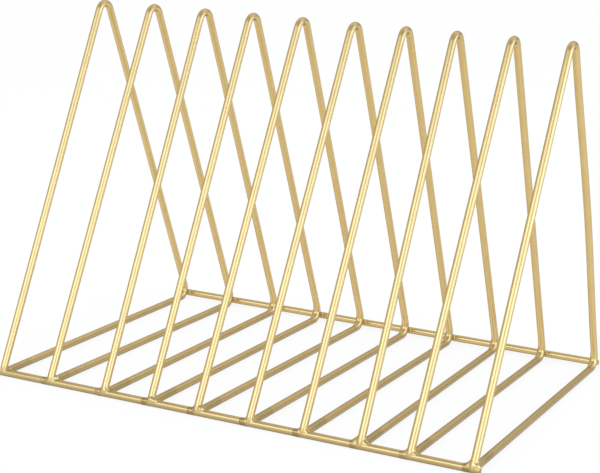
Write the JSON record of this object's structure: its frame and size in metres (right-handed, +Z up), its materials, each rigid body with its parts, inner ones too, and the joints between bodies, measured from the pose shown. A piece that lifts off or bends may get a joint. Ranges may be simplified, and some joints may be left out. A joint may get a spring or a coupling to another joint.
{
  "type": "magazine rack",
  "caption": "Freestanding welded wire magazine rack: a row of upright triangular dividers on two floor rails, with open slots between them for magazines, records or files.",
  "frame": {"origin": "on the floor, midway between the two rails and between their ends", "axes": "+X along the rails, +Y from the front rail to the rear rail, +Z up"},
  "size_m": [0.3162, 0.2326, 0.2218],
  "materials": {
    "gold_coat": "satin gold coat over steel wire"
  },
  "bodies": {
    "root": {"divider_01": "gold_coat", "divider_02": "gold_coat", "divider_03": "gold_coat", "divider_04": "gold_coat", "divider_05": "gold_coat", "divider_06": "gold_coat", "divider_07": "gold_coat", "divider_08": "gold_coat", "divider_09": "gold_coat", "divider_10": "gold_coat", "front_rail": "gold_coat", "rear_rail": "gold_coat", "front_weld_01": "gold_coat", "front_weld_02": "gold_coat", "front_weld_03": "gold_coat", "front_weld_04": "gold_coat", "front_weld_05": "gold_coat", "front_weld_06": "gold_coat", "front_weld_07": "gold_coat", "front_weld_08": "gold_coat", "front_weld_09": "gold_coat", "front_weld_10": "gold_coat", "rear_weld_01": "gold_coat", "rear_weld_02": "gold_coat", "rear_weld_03": "gold_coat", "rear_weld_04": "gold_coat", "rear_weld_05": "gold_coat", "rear_weld_06": "gold_coat", "rear_weld_07": "gold_coat", "rear_weld_08": "gold_coat", "rear_weld_09": "gold_coat", "rear_weld_10": "gold_coat"}
  },
  "joints": []
}
